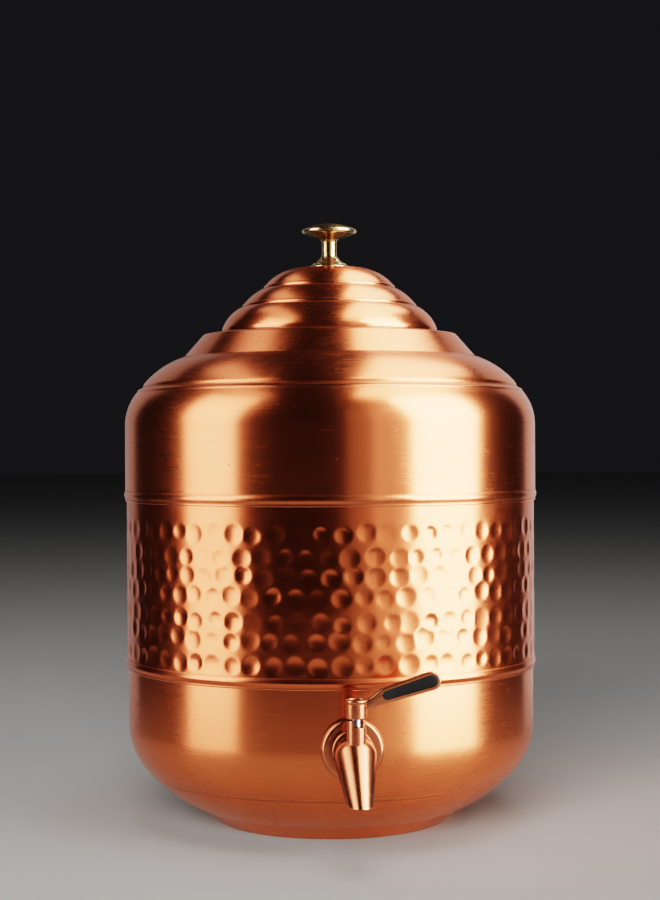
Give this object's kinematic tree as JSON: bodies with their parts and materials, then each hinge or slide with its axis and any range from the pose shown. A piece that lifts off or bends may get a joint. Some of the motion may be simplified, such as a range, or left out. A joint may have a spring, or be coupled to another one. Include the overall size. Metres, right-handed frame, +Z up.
{
  "type": "copper water dispenser",
  "caption": "Upright copper water dispenser with a hammered band, a stepped lift-off lid with a brass knob, and a quarter-turn lever tap.",
  "frame": {"origin": "centre of the foot ring on the floor plane", "axes": "+Z up along the drum's axis; the tap points along -Y; +X is the side that the closed lever points to"},
  "size_m": [0.2814, 0.3362, 0.4061],
  "materials": {
    "copper_satin": "satin copper sheet, brushed round the axis",
    "copper_hammered": "hammered copper sheet, round dents in rows",
    "copper_tap": "polished copper plate on cast brass",
    "brass_turned": "turned and polished brass",
    "steel": "bright stainless steel",
    "rubber_black": "dull black rubber"
  },
  "bodies": {
    "vessel": {"base_pan": "copper_satin", "foot_ring": "copper_satin", "hammered_band": "copper_hammered", "shoulder_shell": "copper_satin", "neck_collar": "copper_satin", "tap_flange": "copper_tap", "outer_gasket": "rubber_black", "inner_gasket": "rubber_black", "shank_washer": "steel", "shank_nut": "brass_turned", "tap_shank": "brass_turned", "tap_body": "copper_tap", "bonnet": "copper_tap"},
    "tap_handle": {"valve_plug": "steel", "stem_orings": "rubber_black", "lever_handle": "copper_tap", "lever_pad": "rubber_black", "handle_screw": "steel", "hub_cap": "copper_tap"},
    "lid": {"lid_shell": "copper_satin", "lid_collar": "copper_satin", "knob_rose": "brass_turned", "knob": "brass_turned", "knob_screw": "steel", "knob_washer": "steel"}
  },
  "joints": [
    {"name": "lid_lift", "type": "slide", "parent": "vessel", "child": "lid", "axis": [0, 0, 1], "range_m": [0, 0.1]},
    {"name": "tap_turn", "type": "hinge", "parent": "vessel", "child": "tap_handle", "pos_m": [0, -0.1621, 0.0797], "axis": [0, 0, -1], "range_deg": [0, 90]}
  ]
}
